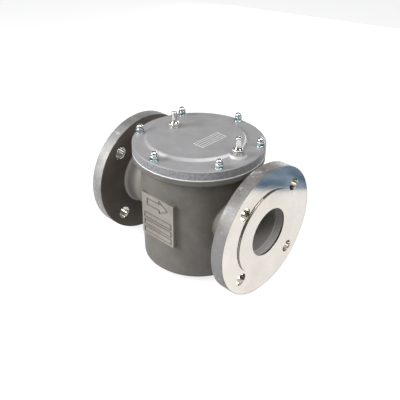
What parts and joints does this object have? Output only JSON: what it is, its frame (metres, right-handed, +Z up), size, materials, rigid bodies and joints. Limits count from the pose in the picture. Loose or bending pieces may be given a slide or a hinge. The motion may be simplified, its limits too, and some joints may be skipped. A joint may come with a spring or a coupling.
{
  "type": "flanged gas filter",
  "caption": "Flanged in-line gas filter: round cast pot with a bolted cover, two pressure test nipples and a lift-out pleated cartridge.",
  "frame": {"origin": "on the ground that the flange rims stand on, below the middle of the pipe axis and of the pot", "axes": "+X along the pipe axis with the flow, from the inlet flange to the outlet flange; +Z up through the cover; the cast pad faces -Y"},
  "size_m": [0.254, 0.185, 0.2113],
  "materials": {
    "body_casting": "cast and shot blasted, flange faces turned",
    "cover_casting": "cast and shot blasted",
    "zinc_steel": "bright zinc plated",
    "nickel_brass": "nickel plated brass",
    "seal_metal": "soft turned ring",
    "seal_rubber": "moulded, matt black",
    "cartridge_steel": "galvanised sheet",
    "filter_fleece": "pleated non-woven fleece"
  },
  "bodies": {
    "housing": {"filter_body": "body_casting", "inlet_flange": "body_casting", "outlet_flange": "body_casting", "seat_bridge": "body_casting", "outlet_pocket": "body_casting", "cover_studs": "zinc_steel", "cover_seal": "seal_rubber"},
    "cover_set": {"cover": "cover_casting", "nut_washers": "zinc_steel", "dome_nuts": "zinc_steel", "test_nipples": "nickel_brass", "nipple_seals": "seal_metal"},
    "inlet_screw": {"inlet_bleed_screw": "nickel_brass"},
    "outlet_screw": {"outlet_bleed_screw": "nickel_brass"},
    "cartridge": {"top_cap": "cartridge_steel", "bottom_cap": "cartridge_steel", "outer_cage": "cartridge_steel", "inner_tube": "cartridge_steel", "filter_media": "filter_fleece", "seat_gasket": "seal_rubber", "top_gasket": "seal_rubber"}
  },
  "joints": [
    {"name": "cover_lift", "type": "slide", "parent": "housing", "child": "cover_set", "axis": [0, 0, 1], "range_m": [0, 0.3]},
    {"name": "cartridge_lift", "type": "slide", "parent": "housing", "child": "cartridge", "axis": [0, 0, 1], "range_m": [0, 0.165]},
    {"name": "inlet_screw_turn", "type": "hinge", "parent": "cover_set", "child": "inlet_screw", "pos_m": [-0.047, 0, 0.2038], "axis": [0, 0, 1], "range_deg": [0, 450]},
    {"name": "outlet_screw_turn", "type": "hinge", "parent": "cover_set", "child": "outlet_screw", "pos_m": [0.0684, 0, 0.2038], "axis": [0, 0, 1], "range_deg": [0, 450]}
  ],
  "couplings": [
    {"joint": "cartridge_lift", "follows": "cover_lift", "ratio": 0.55}
  ]
}
